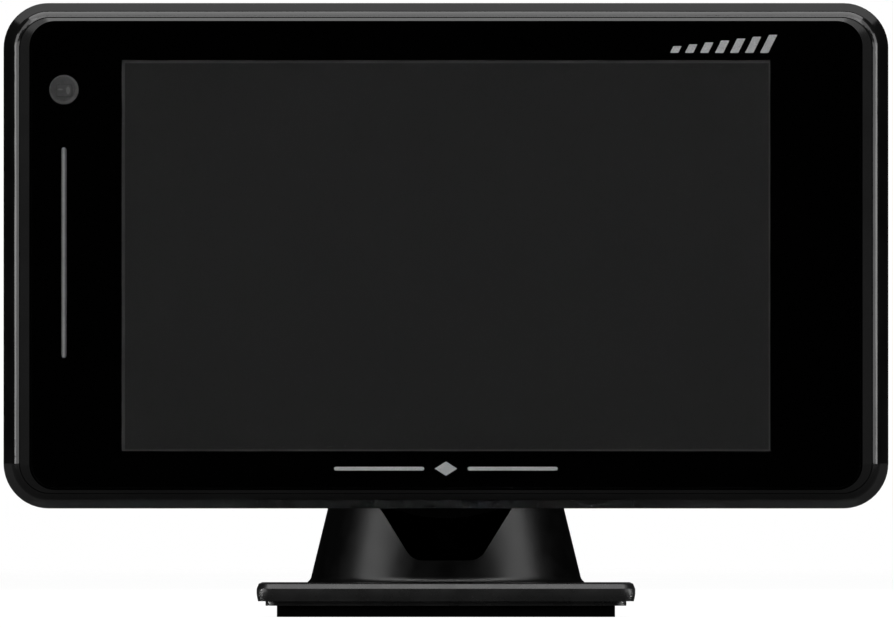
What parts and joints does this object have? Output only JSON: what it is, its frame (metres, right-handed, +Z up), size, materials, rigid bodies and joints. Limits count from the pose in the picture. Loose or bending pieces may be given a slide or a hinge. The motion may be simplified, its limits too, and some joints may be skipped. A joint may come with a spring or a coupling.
{
  "type": "radar detector",
  "caption": "Dash-mounted radar and laser detector: a wide glossy display head on a ball joint in a cone-shaped stand with a flat stick-down foot.",
  "frame": {"origin": "on the underside of the adhesive pad, straight below the centre of the ball, which is also the cone's axis", "axes": "+Z is up, away from the dashboard; the screen faces -Y, towards the driver; +X is on the viewer's right and is the display head's long axis"},
  "size_m": [0.118, 0.0658, 0.0819],
  "materials": {
    "foam_tape": "black foam, dull",
    "stand_plastic": "satin black",
    "screw_steel": "bright zinc",
    "screw_black": "black oxide",
    "bearing_plastic": "smooth black acetal",
    "spring_steel": "drawn wire",
    "ball_plastic": "polished black",
    "bezel_gloss": "piano black",
    "lens_clear": "clear, polished",
    "black_ink": "black print",
    "silver_ink": "silver print",
    "lcd_glass": "dark grey when off",
    "backlight_white": "white",
    "sheet_steel": "tinned sheet",
    "flex_film": "amber film",
    "smoked_window": "smoked, polished",
    "light_pipe": "frosted clear",
    "led_resin": "clear resin",
    "circuit_board": "green solder mask",
    "chip_epoxy": "moulded epoxy",
    "socket_cream": "natural nylon",
    "capacitor_sleeve": "dark sleeve",
    "card_plastic": "black card",
    "socket_black": "moulded black",
    "knob_plastic": "grey",
    "cast_horn": "die cast",
    "antenna_ceramic": "fired, unglazed",
    "infrared_window": "dark infrared filter",
    "speaker_frame": "black",
    "speaker_paper": "pressed paper",
    "cover_plastic": "fine grain, satin black",
    "label_film": "silver film"
  },
  "bodies": {
    "stand": {"adhesive_pad": "foam_tape", "foot_plate": "stand_plastic", "stand_cone": "stand_plastic", "foot_screws": "screw_steel", "upper_seat": "bearing_plastic", "seat_spring": "spring_steel"},
    "pan_seat": {"lower_seat": "bearing_plastic"},
    "ball": {"ball": "ball_plastic"},
    "arm": {"ball_stem": "stand_plastic", "slide_shoe": "stand_plastic", "stem_screw": "screw_steel"},
    "head": {"backlight": "backlight_white", "backup_capacitor": "capacitor_sleeve", "board_chips": "chip_epoxy", "board_screws": "screw_steel", "border_print": "black_ink", "card_socket": "sheet_steel", "corner_screws": "screw_black", "cover_lens": "lens_clear", "front_bezel": "bezel_gloss", "gps_antenna": "antenna_ceramic", "gps_ground_can": "sheet_steel", "label_plate": "label_film", "laser_holder": "socket_black", "laser_lens": "lens_clear", "laser_sensor": "circuit_board", "laser_window": "infrared_window", "lcd_panel": "lcd_glass", "lcd_ribbon": "flex_film", "lcd_tray": "sheet_steel", "lens_tape": "foam_tape", "light_bar": "light_pipe", "light_sensor": "led_resin", "main_board": "circuit_board", "power_jack": "socket_black", "power_switch": "sheet_steel", "radar_board": "circuit_board", "radar_horn": "cast_horn", "rear_cover": "cover_plastic", "ribbon_socket": "socket_cream", "sensor_board": "circuit_board", "sensor_window": "smoked_window", "shield_can": "sheet_steel", "silver_marks": "silver_ink", "speaker": "speaker_frame", "speaker_cone": "speaker_paper", "speaker_gasket": "foam_tape", "status_leds": "led_resin"},
    "card": {"memory_card": "card_plastic"},
    "switch": {"switch_knob": "knob_plastic"}
  },
  "joints": [
    {"name": "head_pan", "type": "hinge", "parent": "stand", "child": "pan_seat", "pos_m": [0, 0, 0.02], "axis": [0, 0, 1], "range_deg": [-20, 20]},
    {"name": "head_tilt", "type": "hinge", "parent": "pan_seat", "child": "ball", "pos_m": [0, 0, 0.02], "axis": [1, 0, 0], "range_deg": [-25, 8]},
    {"name": "head_roll", "type": "hinge", "parent": "ball", "child": "arm", "pos_m": [0, 0, 0.02], "axis": [0, 1, 0], "range_deg": [-10, 10]},
    {"name": "head_slide", "type": "slide", "parent": "arm", "child": "head", "axis": [0, 0, 1], "range_m": [0, 0.022]},
    {"name": "card_slide", "type": "slide", "parent": "head", "child": "card", "axis": [1, 0, 0], "range_m": [-0.0006, 0.012]},
    {"name": "power_slide", "type": "slide", "parent": "head", "child": "switch", "axis": [0, 0, 1], "range_m": [0, 0.002]}
  ]
}
